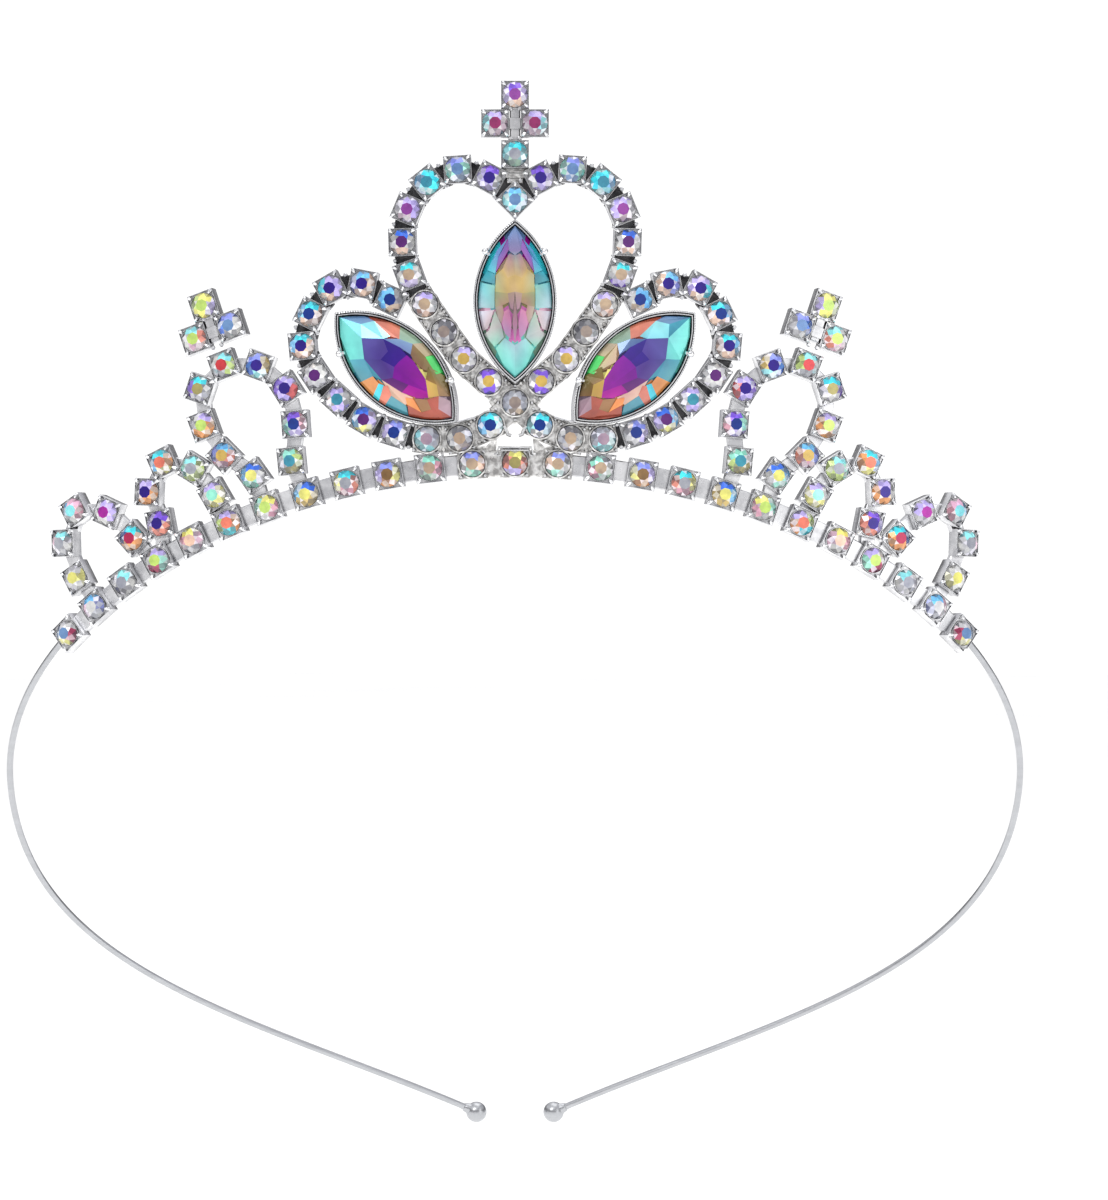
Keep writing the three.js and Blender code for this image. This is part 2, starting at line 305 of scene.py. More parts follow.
# Red, green and blue as seen on the screen, in hundredths.
PERCENTS = {
    "white": (97, 96, 98), "clear": (83, 83, 82), "grey": (64, 65, 68),
    "smoke": (40, 40, 42), "taupe": (62, 56, 52), "lemon": (96, 94, 50),
    "lime": (78, 90, 45), "mint": (60, 93, 82), "green": (30, 93, 45),
    "sage": (58, 74, 64), "olive": (66, 62, 38), "gold": (85, 71, 36),
    "brown": (55, 42, 26), "tan": (76, 66, 55), "peach": (96, 79, 68),
    "orange": (98, 60, 30), "coral": (95, 50, 40), "rust": (68, 30, 24),
    "red": (80, 24, 26), "crimson": (70, 16, 32), "rose": (85, 56, 64),
    "pink": (96, 74, 84), "petal": (95, 50, 80), "magenta": (66, 10, 60),
    "plum": (38, 16, 46), "purple": (52, 2, 60), "slate": (34, 26, 58),
    "violet": (50, 34, 86), "orchid": (58, 28, 62), "berry": (60, 18, 40),
    "mauve": (68, 58, 64), "lilac": (76, 70, 95), "iris": (55, 60, 95),
    "indigo": (18, 8, 52), "navy": (9, 22, 54), "blue": (22, 44, 90),
    "steel": (42, 56, 74), "sky": (44, 76, 98), "cyan": (25, 88, 94),
    "aqua": (56, 92, 93), "jade": (45, 88, 82), "teal": (26, 60, 68),
}
COLOURS = {name: tuple(part / 100 for part in parts) for name, parts in PERCENTS.items()}

# Each round stone's look: table, and the facets above, on the outer side, below and on the inner side.
BASE_LOOKS = [
    "olive lemon coral lilac coral",
    "tan iris clear mint peach",
    "tan mint clear sage rose",
    "brown iris lilac orange lemon",
    "grey cyan lemon rose coral",
    "lemon blue sky gold gold",
    "lime lemon mint clear rose",
    "coral lilac lime cyan orange",
    "peach lemon rose clear pink",
    "lime lilac clear crimson mint",
    "grey aqua white smoke clear",
    "clear sky pink grey iris",
    "steel clear steel lemon crimson",
]
CHAIN_LOOKS = {
    "outer_arch": [
        "lemon clear grey clear lemon",
        "grey aqua pink grey clear",
        "aqua pink sky clear rose",
        "magenta lilac clear clear lilac",
        "crimson cyan navy orange orange",
    ],
    "middle_arch": [
        "indigo violet lilac coral coral",
        "indigo lilac clear orange orange",
        "coral cyan sky lemon orange",
        "grey aqua mint lime lime",
        "mint lilac clear lemon lemon",
    ],
    "inner_arch": [
        "lemon blue sky mint clear",
        "gold sky iris rose coral",
        "lime lilac clear orange orange",
        "olive cyan violet clear grey",
        "red aqua clear grey lime",
        "indigo iris blue aqua gold",
        "indigo lilac violet lilac red",
        "navy violet mint lilac rose",
        "teal mint clear olive lime",
    ],
    "crown_loop": [
        "navy sky sky tan clear",
        "indigo sky iris peach peach",
        "indigo lilac cyan peach lilac",
        "navy cyan sky peach peach",
        "indigo cyan sky peach peach",
        "plum clear clear clear clear",
        "teal lilac clear lilac clear",
        "plum blue sky lemon lilac",
        "navy iris lilac clear clear",
        "mauve grey aqua aqua grey",
        "tan smoke clear taupe grey",
        "navy cyan sky clear aqua",
    ],
}
CUSP_LOOK = "steel sky aqua aqua aqua"
CROSSING_LOOK = "taupe grey grey tan grey"
FLANK_LOOKS = [
    "indigo violet lilac lilac clear",
    "steel iris mint steel mint",
    "teal cyan sky aqua cyan",
    "orchid lilac white mauve lilac",
    "plum blue clear peach clear",
    "tan cyan clear violet clear",
    "tan lilac clear peach clear",
    "taupe smoke grey clear smoke",
    "gold lilac clear white clear",
    "gold violet clear violet white",
]
TOP_CROSS_LOOKS = [
    "orchid violet lilac peach lilac",
    "berry lilac aqua mauve mauve",
    "berry lilac aqua mauve mauve",
    "grey cyan aqua sage aqua",
]
SIDE_CROSS_LOOKS = {
    "top": "lime lemon lime lemon lilac",
    "outer": "lime aqua clear pink coral",
    "inner": "steel iris blue clear clear",
}

# Flat patches of colour in a marquise stone: a colour, then the corners as across,up in hundredths of
# its half width and half length. The centre stone's side patches are repeated on its other side.
CENTRE_MIDDLE_PATCHES = [
    "steel 0,100 20,84 16,66 0,60 -16,66 -20,84",
    "taupe 0,5 7,-30 0,-57 -7,-30",
]
CENTRE_SIDE_PATCHES = [
    "jade 0,-58 28,-49 52,-62 30,-84 0,-100",
    "magenta 16,68 20,80 45,58 53,37",
    "cyan 20,83 48,68 76,41 54,36 45,59",
    "teal 76,40 88,26 55,22 54,35",
    "aqua 90,24 99,-8 56,-10 55,20",
    "pink 57,-12 98,-13 86,-38 74,-36",
    "sage 55,-13 70,-38 82,-42 56,-60 30,-48 37,-32",
    "tan 0,60 16,62 34,42 20,30 0,34",
    "gold 0,34 20,30 34,42 52,34 54,12 20,10 0,12",
    "olive 20,10 54,12 54,-8 34,-6 16,-2",
    "mauve 0,12 20,10 16,-2 12,-10 5,-12",
    "tan 34,-6 54,-8 46,-22 37,-30 30,-16",
    "petal 16,-10 30,-14 36,-30 27,-43 13,-50 9,-30",
]
SIDE_PATCHES = [
    "jade 0,100 -1,58 -39,37 -68,52 -37,79",
    "teal -68,52 -39,37 -49,1 -58,13 -91,21",
    "orange -91,21 -58,13 -62,1 -99,-3",
    "cyan -99,-3 -62,1 -56,-6 -98,-13",
    "coral -96,-13 -58,-6 -50,-10 -62,-22 -92,-22",
    "peach -49,1 -38,-30 -27,-46 -57,-44 -64,-21",
    "teal -92,-22 -64,-22 -57,-45 -70,-52 -82,-44",
    "orange -42,-38 -30,-47 -43,-66 -53,-45",
    "brown -28,-47 -6,-61 -19,-73 -42,-66",
    "rust -53,-46 -43,-66 -19,-73 -20,-88 -50,-74 -70,-53",
    "mauve 22,-69 33,-84 2,-100 -5,-80",
    "rust -6,-61 22,-69 -5,-80 2,-100 -20,-88 -19,-73",
    "gold 32,-42 0,-61 22,-69 41,-57",
    "brown 63,-33 72,-55 41,-78 22,-69 41,-57 32,-42",
    "green 77,-21 92,-26 74,-49 61,-47",
    "brown 55,-5 80,3 77,-20 62,-46 47,-30 47,-15",
    "tan 80,3 96,-5 92,-25 77,-21",
    "lemon 41,-26 47,-30 33,-43",
    "steel 37,36 66,20 80,3 55,-5 50,12",
    "sage 66,20 87,30 97,10 95,-6 80,3",
    "coral 56,62 80,42 87,30 66,20 55,31",
    "aqua 25,72 56,62 55,31 37,36 -1,58",
    "steel 0,100 47,76 56,62 25,72",
    "teal 0,100 25,72 -1,58",
    "slate -1,58 37,36 20,20 -10,20 -39,37",
    "indigo 37,36 50,12 47,-2 20,0 20,20",
    "purple 47,-2 47,-15 32,-42 10,-55 0,0 20,0",
    "slate -39,37 -10,20 0,0 -25,-8 -49,1",
    "indigo -10,20 20,20 20,0 0,0",
    "plum -49,1 -25,-8 -10,-30 -38,-30",
    "purple -25,-8 0,0 10,-55 -10,-30",
    "magenta -38,-30 -10,-30 10,-55 0,-61 -21,-50",
]


def linear(colour, gain=1.0):
    return tuple(min(1.0, c**2.2 * gain) for c in colour)


def mixed(a, b, share):
    return tuple(x * (1 - share) + y * share for x, y in zip(a, b))


# --- Materials ---


class Nodes:
    """The shader nodes of a material or the world, in a few short calls."""

    def __init__(self, owner, coordinates="Object"):
        owner.use_nodes = True
        self.tree = owner.node_tree
        self.shader = self.tree.nodes.get("Principled BSDF")
        self.at = self.add("ShaderNodeTexCoord").outputs[coordinates]

    def add(self, kind, **settings):
        node = self.tree.nodes.new(kind)
        for key, value in settings.items():
            setattr(node, key, value)
        return node

    def link(self, output, target):
        self.tree.links.new(output, target)

    def set(self, **values):
        """Even values for the shader's sockets; Coat_Weight stands for the socket Coat Weight."""
        for name, value in values.items():
            self.shader.inputs[name.replace("_", " ")].default_value = value

    def colour(self, output):
        self.link(output, self.shader.inputs["Base Color"])

    def roughness(self, scale, low, high):
        """A roughness that wanders between low and high."""
        node = self.add("ShaderNodeMapRange")
        node.inputs["To Min"].default_value = low
        node.inputs["To Max"].default_value = high
        self.link(self.noise(scale), node.inputs["Value"])
        self.link(node.outputs["Result"], self.shader.inputs["Roughness"])

    def noise(self, scale, detail=3.0, stretch=None):
        node = self.add("ShaderNodeTexNoise")
        node.inputs["Scale"].default_value = scale
        node.inputs["Detail"].default_value = detail
        source = self.at
        if stretch is not None:
            mapping = self.add("ShaderNodeMapping")
            mapping.inputs["Scale"].default_value = stretch
            self.link(source, mapping.inputs["Vector"])
            source = mapping.outputs["Vector"]
        self.link(source, node.inputs["Vector"])
        return node.outputs["Fac"]

    def ramp(self, factor, low, high, low_at=0.3, high_at=0.7):
        node = self.add("ShaderNodeValToRGB")
        stops = node.color_ramp.elements
        stops[0].position = low_at
        stops[1].position = high_at
        stops[0].color = (*low, 1)
        stops[1].color = (*high, 1)
        self.link(factor, node.inputs["Fac"])
        return node.outputs["Color"]

    def multiply(self, a, b):
        node = self.add("ShaderNodeMix", data_type="RGBA", blend_type="MULTIPLY")
        node.inputs[0].default_value = 1.0
        self.link(a, node.inputs[6])
        self.link(b, node.inputs[7])
        return node.outputs[2]

    def cavity(self, reach):
        """Near 0 in crevices narrower than reach, in millimetres, and 1 in the open."""
        node = self.add("ShaderNodeAmbientOcclusion", samples=6)
        node.inputs["Distance"].default_value = reach * MM
        return node.outputs["AO"]

    def bump(self, height, strength, distance):
        node = self.add("ShaderNodeBump")
        node.inputs["Strength"].default_value = strength
        node.inputs["Distance"].default_value = distance * MM
        self.link(height, node.inputs["Height"])
        self.link(node.outputs["Normal"], self.shader.inputs["Normal"])


def plated_silver(name, light, shade, crevice, grain=0.02, rough=(0.16, 0.34), cloud=420):
    """Bright plating: uneven sheen, a fine grain, and painted shade that darkens the crevices."""
    made = bpy.data.materials.new(name)
    n = Nodes(made)
    sheen = n.ramp(n.noise(cloud), shade, light, 0.38, 0.62)
    # Painted shade: ambient occlusion pulls the colour down to the crevice tone in narrow gaps.
    painted_crevice_shade = n.ramp(n.cavity(0.5), crevice, (1, 1, 1), 0.25, 0.8)
    n.colour(n.multiply(sheen, painted_crevice_shade))
    n.roughness(900, *rough)
    n.set(Metallic=1.0)
    n.bump(n.noise(2600, 4.0), 0.35, grain)
    return made


def spring_wire():
    made = bpy.data.materials.new("spring_wire")
    n = Nodes(made)
    drawn = n.noise(90, 5.0, (1.0, 1.0, 14.0))
    n.colour(n.ramp(drawn, (0.48, 0.49, 0.51), (0.55, 0.56, 0.58)))
    n.roughness(200, 0.26, 0.34)
    n.set(Metallic=1.0)
    n.bump(drawn, 0.08, 0.01)
    return made


def coated_glass(name, glow, gleam, cloud):
    """Glass with an iridescent coating: the facets' tints, a little clouded, under a clear gloss, and
    glowing faintly as painted light.
    """
    made = bpy.data.materials.new(name)
    n = Nodes(made)
    tint = n.add("ShaderNodeAttribute", attribute_name="facet_tint").outputs["Color"]
    veil = n.ramp(n.noise(cloud, 2.0), (0.78, 0.78, 0.82), (1, 1, 1), 0.25, 0.6)
    streak = n.ramp(n.noise(cloud / 3, 1.0), (0.82, 0.82, 0.88), (1, 1, 1), 0.38, 0.56)
    clouded = n.multiply(n.multiply(tint, veil), streak)
    n.colour(clouded)
    # Painted light: the clouded tints also glow a little, though the stone is no lamp.
    n.link(clouded, n.shader.inputs["Emission Color"])
    n.roughness(800, 0.05, 0.12)
    n.set(Emission_Strength=glow, Metallic=gleam, Coat_Weight=0.6, Coat_Roughness=0.03)
    return made


# A near-black metal that stands in for shade: painted shade in the cups' pockets, the bezels' grooves
# and the gaps between close cups.
def painted_shade_recess():
    made = bpy.data.materials.new("painted_shade_recess")
    n = Nodes(made)
    n.colour(n.ramp(n.noise(800), (0.02, 0.02, 0.022), (0.09, 0.09, 0.095)))
    n.roughness(500, 0.35, 0.6)
    n.set(Metallic=0.8)
    return made


def pale_floor():
    made = bpy.data.materials.new("pale_floor")
    n = Nodes(made)
    n.colour(n.ramp(n.noise(6), (0.90, 0.90, 0.905), (0.94, 0.94, 0.94)))
    n.set(Roughness=0.9, Specular_IOR_Level=0.1)
    return made


# The last tone given to each plated silver is the painted shade in its crevices.
SILVER = plated_silver("silver_plate", (0.97, 0.975, 0.98), (0.84, 0.845, 0.86), (0.34, 0.34, 0.36))
CAST_TONES = (0.95, 0.94, 0.92), (0.42, 0.41, 0.40), (0.14, 0.14, 0.14)
CAST = plated_silver("cast_silver", *CAST_TONES, grain=0.14, rough=(0.2, 0.4), cloud=1300)
STRAP_TONES = (0.90, 0.90, 0.91), (0.62, 0.622, 0.64), (0.16, 0.16, 0.17)
STRAP = plated_silver("strap_and_shade_silver", *STRAP_TONES, rough=(0.2, 0.38))
WIRE = spring_wire()
SHADE_RECESS = painted_shade_recess()
ROUND_GLASS = coated_glass("round_stone_glass", 0.04, 0.3, 1500)
MARQUISE_GLASS = coated_glass("marquise_glass", 0.06, 0.25, 420)
METALS = [SILVER, SHADE_RECESS, CAST, STRAP]
# The four metal slots, in order: the polished plating, also used as painted highlights on rims;
# near-black painted shade; the grainy cast silver; and the duller strap silver, also used as painted
# shade on walls and sunk fronts.
BRIGHT, PAINTED_SHADE, GRAINY, DULL_AND_SHADE = range(4)


# --- Claw cups and their links ---

RING_COUNT = 32
SEAT = {"rim_width": 0.08, "step": 0.22, "lip": 1.77, "lip_inner": 1.73, "pocket": 0.7}
CLAW = {
    "path": [(2.32, -0.5), (2.32, 0.05), (2.2, 0.26), (2.0, 0.34), (1.8, 0.32)],
    "radii": [0.2, 0.22, 0.22, 0.19, 0.12],
    "sides": 8,
}
BEAD = {"radius": 0.34, "aside": 1.5, "height": -0.35}
CAST_SEAT = {"sunk": 0.3, "rim": (1.98, 1.78), "bead": 0.24, "bead_out": 2.25}
RAIL = {"radius": 0.13, "inset": 0.06, "height": -0.2}
BAR_SIDES = 6
# A link's width, and how far back its back and its front are from the cups' fronts.
LINK = (2.1, -1.85, -1.05)
WIDE_LINK = (2.8, -1.85, -0.8)
CLOSE_LINK = (3.0, -1.85, -0.9)
CAST_LINK = (3.5, -1.9, -0.3)
LINK_OVERLAP = 0.5
LINK_BEVEL = 0.14
FOOT = {"levels": [(-1.85, 0), (-1.15, 0), (-1.0, 0.12)], "solder": 0.5, "solder_height": -0.95}


def angles(count, start=0.0):
    return [start + 2 * math.pi * i / count for i in range(count)]


def circle(radius, z, count=RING_COUNT, start=0.0):
    return [(radius * math.cos(a), radius * math.sin(a), z) for a in angles(count, start)]


def square(width, z):
    half = width / 2
    points = []
    for a in angles(RING_COUNT):
        reach = half / max(abs(math.cos(a)), abs(math.sin(a)))
        points.append((reach * math.cos(a), reach * math.sin(a), z))
    return points


def box(x0, x1, y0, y1, z):
    return [(x0, y0, z), (x1, y0, z), (x1, y1, z), (x0, y1, z)]


def round_bar(points, radius, sides, upright):
    """Rings round a line; upright(point) gives a direction that the line doesn't run in."""
    rings = []
    for i, point in enumerate(points):
        before = points[max(i - 1, 0)]
        after = points[min(i + 1, len(points) - 1)]
        ahead = (after - before).normalized()
        side = ahead.cross(upright(point)).normalized()
        lift = side.cross(ahead)
        turns = angles(sides)
        rings.append([point + (side * math.cos(a) + lift * math.sin(a)) * radius for a in turns])
    return rings


def add_ball(gathered, centre, radius, material=0, place=None, across=8, up=5):
    rings = []
    for i in range(1, up):
        tilt = math.pi * i / up
        ring = circle(radius * math.sin(tilt), -radius * math.cos(tilt), across)
        rings.append([(x + centre[0], y + centre[1], z + centre[2]) for x, y, z in ring])
    gathered.ring_loft(rings, material, place)


def add_claw(gathered, angle, stretch, material, place):
    """A small hook that rises at the cup's corner and bends in over the stone."""
    out = Vector((math.cos(angle), math.sin(angle), 0))
    side = Vector((-math.sin(angle), math.cos(angle), 0))
    rings = []
    path = [out * (r * stretch) + Vector((0, 0, z)) for r, z in CLAW["path"]]
    for k, (centre, radius) in enumerate(zip(path, CLAW["radii"])):
        before = path[max(k - 1, 0)]
        after = path[min(k + 1, len(path) - 1)]
        lift = (after - before).normalized().cross(side)
        turns = angles(CLAW["sides"])
        rings.append([centre + (side * math.cos(a) + lift * math.sin(a)) * radius for a in turns])
    gathered.ring_loft(rings, material, place)


def add_cup(gathered, place, width):
    """A square cup with a thin rim and a raised round lip painted bright as highlights, a sunk front
    and walls painted duller as shade, and a pocket painted dark as shade.
    """
    inside = width - 2 * SEAT["rim_width"]
    rings = [
        square(width - 0.3, -CUP_DEPTH),
        square(width - 0.08, -CUP_DEPTH + 0.15),
        square(width, -0.1),
        square(width - 0.06, 0.0),
        square(inside, 0.0),
        square(inside - 0.04, -SEAT["step"]),
        circle(SEAT["lip"] + 0.02, -SEAT["step"]),
        circle(SEAT["lip"], 0.02),
        circle(SEAT["lip_inner"], 0.02),
        circle(SEAT["lip_inner"] - 0.02, -SEAT["pocket"]),
    ]
    # Painted light: the outer walls and the sunk front take the duller silver as shade, the rim and lip
    # the bright silver as highlights, and the pocket the near-black as shade.
    gathered.ring_loft(rings, [DULL_AND_SHADE] * 3 + [BRIGHT] * 2 + [DULL_AND_SHADE] + [BRIGHT] * 2 + [PAINTED_SHADE], place)
    for a in angles(4, math.pi / 4):
        add_claw(gathered, a, width / CUP_WIDTH, BRIGHT, place)


def add_cast_seat(gathered, place, width):
    """A cup of the casting: a flat grainy block with a raised round rim and a bead at each corner."""
    floor = -CAST_SEAT["sunk"]
    outer, inner = CAST_SEAT["rim"]
    rings = [
        square(width - 0.2, -CUP_DEPTH),
        square(width, floor - 0.12),
        square(width - 0.16, floor),
        circle(outer + 0.04, floor),
        circle(outer - 0.03, 0.02),
        circle(inner, 0.04),
        circle(inner - 0.05, -0.12),
        circle(inner - 0.07, -SEAT["pocket"]),
    ]
    # Painted shade: the inner wall of the rim takes the duller silver and the pocket the near-black.
    gathered.ring_loft(rings, [GRAINY] * 5 + [DULL_AND_SHADE, PAINTED_SHADE], place)
    for a in angles(4, math.pi / 4):
        corner = (CAST_SEAT["bead_out"] * math.cos(a), CAST_SEAT["bead_out"] * math.sin(a), floor)
        add_ball(gathered, corner, CAST_SEAT["bead"], BRIGHT, place)


def add_edge_rails(gathered, places):
    """Thin raised rails along both straight edges of a run of cast cups."""
    for side in (1, -1):
        spot = Vector((0, side * (CUP_WIDTH / 2 - RAIL["inset"]), RAIL["height"]))
        add_bar(gathered, [place @ spot for place in places], RAIL["radius"], GRAINY)


def add_bar(gathered, line, radius, material):
    """A thin round bar through the points, on the face."""
    rings = round_bar(line, radius, BAR_SIDES, lambda point: face_normal(point.x))
    gathered.ring_loft(rings, material)


def add_link(gathered, start, end, cup_width, link, material):
    """The bevelled strip between two neighbouring cups."""
    a = start.translation
    b = end.translation
    ahead = b - a
    place = place_on_face((a + b) / 2, ahead)
    half = (ahead.length - cup_width) / 2 + LINK_OVERLAP
    width, back, front = link
    rings = []
    for z, inset in ((back, 0), (front - LINK_BEVEL, 0), (front, LINK_BEVEL)):
        x = half - inset
        y = width / 2 - inset
        rings.append(box(-x, x, -y, y, z))
    gathered.ring_loft(rings, material, place)
    return place


def add_link_beads(gathered, place, material):
    for side in (1, -1):
        add_ball(gathered, (0, side * BEAD["aside"], BEAD["height"]), BEAD["radius"], material, place)


def cup_chain(places, width, cast=(), closed=False, beads=False, link=LINK):
    """A whole strip of cups with its links; cups whose index is in cast belong to the casting."""
    made = Gathered()
    for i, place in enumerate(places):
        if i in cast:
            add_cast_seat(made, place, width)
        else:
            add_cup(made, place, width)
    pairs = list(zip(range(len(places)), range(1, len(places))))
    if closed:
        pairs.append((len(places) - 1, 0))
    for i, j in pairs:
        solid = i in cast and j in cast
        shape = CAST_LINK if solid else link
        # Links between close cups are painted near-black as the shade between them; the others take the
        # duller strap silver.
        link_shade = PAINTED_SHADE if link is CLOSE_LINK else DULL_AND_SHADE
        middle = add_link(made, places[i], places[j], width, shape, GRAINY if solid else link_shade)
        if beads:
            add_link_beads(made, middle, GRAINY if solid else BRIGHT)
    return made


def add_foot(gathered, place, towards):
    """A short strap from an end cup to what it is soldered to, with a bead of solder."""
    centre = place.translation
    ahead = towards - centre
    strap = place_on_face(centre + ahead / 2, ahead)
    half = ahead.length / 2
    wide = LINK[0] / 2
    rings = [box(-half, half, -wide + inset, wide - inset, z) for z, inset in FOOT["levels"]]
    gathered.ring_loft(rings, DULL_AND_SHADE, strap)
    add_ball(gathered, (half - 0.3, 0, FOOT["solder_height"]), FOOT["solder"], BRIGHT, strap)


# --- Round stones ---

ROUND = {"radius": 1.69, "table": 0.49, "middle": 0.74}
ROUND_HEIGHT = {"table": 0.78, "middle": 0.5, "girdle": 0.05, "culet": -0.6}
# How bright each kind of facet is painted: lighter stars, and painted shade that deepens towards the
# girdle and under the stone.
FACET_PAINTED_LIGHT = {"star": 1.15, "kite": 0.92, "girdle": 0.66, "under": 0.5}
# The rolls that turn facets into painted white glints (below white), greyed facets (below grey) and
# painted dark reflections (above dark).
GLINT = {"white": 0.13, "grey": 0.36, "dark": 0.8}
LIGHT_SWING = 0.35


def look_of(words):
    return dict(zip(("table", "above", "outer", "below", "inner"), (COLOURS[w] for w in words.split())))


def ring_colour(look, direction, side):
    """The colour of the facets on one side of a stone, seen from the front."""
    x = direction.x * side
    if abs(direction.z) > abs(x):
        return look["above"] if direction.z > 0 else look["below"]
    return look["outer"] if x > 0 else look["inner"]


def round_stone(name, place, words, side, seed):
    """A chaton: eight-sided table, eight stars, eight kites and sixteen girdle facets, all tinted, with
    painted glints, painted light on the upper facets and painted shade towards the girdle and
    underneath.
    """
    chance = random.Random(seed)
    look = look_of(words)
    r = ROUND["radius"]
    eighth = math.pi / 4
    table = circle(r * ROUND["table"], ROUND_HEIGHT["table"], 8, eighth / 2)
    middle = circle(r * ROUND["middle"], ROUND_HEIGHT["middle"], 8)
    girdle = circle(r, ROUND_HEIGHT["girdle"], 16)
    points = [*table, *middle, *girdle, (0, 0, ROUND_HEIGHT["culet"])]
    culet = len(points) - 1
    swing = Matrix.Rotation(chance.uniform(-LIGHT_SWING, LIGHT_SWING), 3, "Y")
    turn = place.to_3x3()
    faces = []
    tints = []

    def tint_for(corner_mean, gain, glints):
        direction = swing @ (turn @ Vector((corner_mean.x, corner_mean.y, 0)))
        colour = ring_colour(look, direction, side)
        roll = chance.random()
        # Facets facing up keep their full colour and are painted up to a quarter brighter, as light
        # falling from above.
        if colour == look["above"] and not glints:
            return linear(colour, gain * chance.uniform(0.85, 1.25))
        if roll < GLINT["white"]:
            return linear(mixed(colour, COLOURS["white"], 0.85))
        if roll < GLINT["grey"]:
            return linear(mixed(colour, COLOURS["clear"], 0.75), gain)
        if roll > GLINT["dark"]:
            return linear(mixed(colour, COLOURS["smoke"], 0.6), gain)
        return linear(mixed(colour, COLOURS["clear"], 0.22), gain * chance.uniform(0.7, 1.1))

    def add(face, kind):
        mean = sum((Vector(points[i]) for i in face), Vector()) / len(face)
        faces.append(face)
        tints.append(tint_for(mean, FACET_PAINTED_LIGHT[kind], kind == "girdle"))

    # The table's corners are points 0 to 7, the middle ring's 8 to 15 and the girdle's 16 to 31.
    faces.append(list(range(8)))
    tints.append(linear(look["table"]))
    for k in range(8):
        after = (k + 1) % 8
        add([k, 8 + after, after], "star")
        add([k, 8 + k, 16 + 2 * k + 1, 8 + after], "kite")
        add([8 + k, 16 + 2 * k, 16 + 2 * k + 1], "girdle")
        add([8 + after, 16 + 2 * k + 1, 16 + (2 * k + 2) % 16], "girdle")
    for k in range(16):
        faces.append([16 + (k + 1) % 16, 16 + k, culet])
        tints.append(linear(COLOURS["grey"], FACET_PAINTED_LIGHT["under"]))
    made = Gathered()
    made.add(points, faces, 0, place, tints)
    return mesh_object(name, made, [ROUND_GLASS])


# --- Marquise stones and settings ---

GEM = {"length": 20.2, "width": 9.75, "crown": 1.35, "base": 0.25, "table": 0.66, "steps": 24}
GEM_BODY = {"shares": (1.0, 0.92, 0.8, 0.68, 0.55, 0.4, 0.2), "sunk": 0.45, "gain": 0.92}
PAVILION = {"share": 0.3, "height": -1.6}
GEM_BLEND = {"reach": 0.16, "gain": (0.85, 1.1)}
GIRDLE_FROM = 0.93
CENTRE_BLEND = 0.42
SIDE_BLEND = 0.14
BEZEL = {"length": 21.9, "width": 11.1, "steps": 40, "depth": 3, "pocket": 2, "rim_top": 0.62}
MILLING = {"radius": 0.16, "count": 74, "height": 0.5}
PRONG = {"radius": 0.5, "height": 0.65, "small": (0.28, 0.24), "small_height": 0.85}
PRONG_SPREAD = (0.45, 0.35)
CENTRE_PRONGS = [(3.95, 6.6), (-3.95, 6.6)]
SIDE_PRONGS = [(3.65, 6.8), (-3.7, -6.7)]


def pointed_oval(length, width, steps):
    """Points round a shape made of two arcs that meet at the top and the bottom."""
    half = length / 2
    radius = (half * half + width * width / 4) / width
    centre = radius - width / 2
    sweep = math.asin(half / radius)
    points = []
    for side in (1, -1):
        for i in range(steps):
            angle = sweep * (2 * i / steps - 1)
            points.append((side * (radius * math.cos(angle) - centre), side * radius * math.sin(angle)))
    return points


def girdle_share(u, v):
    """How far a point is from the stone's middle to its girdle, from 0 to 1."""
    half = GEM["length"] / 2
    wide = GEM["width"] / 2
    x = abs(u) * wide
    y = abs(v) * half
    radius = (half * half + wide * wide) / (2 * wide)
    low, high = 0.0, 1.6
    for _ in range(24):
        share = (low + high) / 2
        across = math.hypot(x + share * (radius - wide), y)
        if across > share * radius:
            low = share
        else:
            high = share
    return share


def crown_height(u, v):
    rise = min(1.0, max(0.0, (1 - girdle_share(u, v)) / (1 - GEM["table"])))
    return GEM["base"] + GEM["crown"] * rise


def gem_point(u, v):
    """A point on the crown; one near the girdle is moved onto it."""
    share = girdle_share(u, v)
    if share > GIRDLE_FROM:
        u /= share
        v /= share
    return (u * GEM["width"] / 2, v * GEM["length"] / 2, crown_height(u, v))


def corner_tint(colour, corner, patches, blend, chance):
    """A patch's tint at a corner, drawn a little towards the patches that meet it there."""
    own = COLOURS[colour]
    near = [
        COLOURS[other]
        for other, corners in patches
        if other != colour and any(math.dist(corner, c) < GEM_BLEND["reach"] for c in corners)
    ]
    if near:
        mean = tuple(sum(c) / len(near) for c in zip(*near))
        own = mixed(own, mean, blend)
    return linear(own, chance.uniform(*GEM_BLEND["gain"]))


def nearest_colour(u, v, patches):
    def away(corners):
        mean = [sum(c) / len(corners) for c in zip(*corners)]
        return min(math.dist((u, v), point) for point in [*corners, mean])

    return min(patches, key=lambda patch: away(patch[1]))[0]


def add_gem_body(made, place, patches):
    """The stone under its patches: a domed crown down to the girdle and a pavilion below."""
    sunk = Vector((0, 0, GEM_BODY["sunk"]))
    rings = []
    for share in GEM_BODY["shares"]:
        ring = [gem_point(x * share, y * share) for x, y in unit_outline()]
        rings.append([tuple(Vector(p) - sunk) for p in ring])
    under = PAVILION["share"]
    pavilion = [(x * under, y * under, PAVILION["height"]) for x, y, _ in rings[0]]
    first = len(made.faces)
    made.ring_loft([pavilion, *rings], 0, place)
    inverse = place.inverted()
    for k in range(first, len(made.faces)):
        face = made.faces[k]
        mean = inverse @ (sum((made.points[i] for i in face), Vector()) / len(face))
        u = mean.x * 2 / GEM["width"]
        v = mean.y * 2 / GEM["length"]
        made.tints[k] = linear(COLOURS[nearest_colour(u, v, patches)], GEM_BODY["gain"])


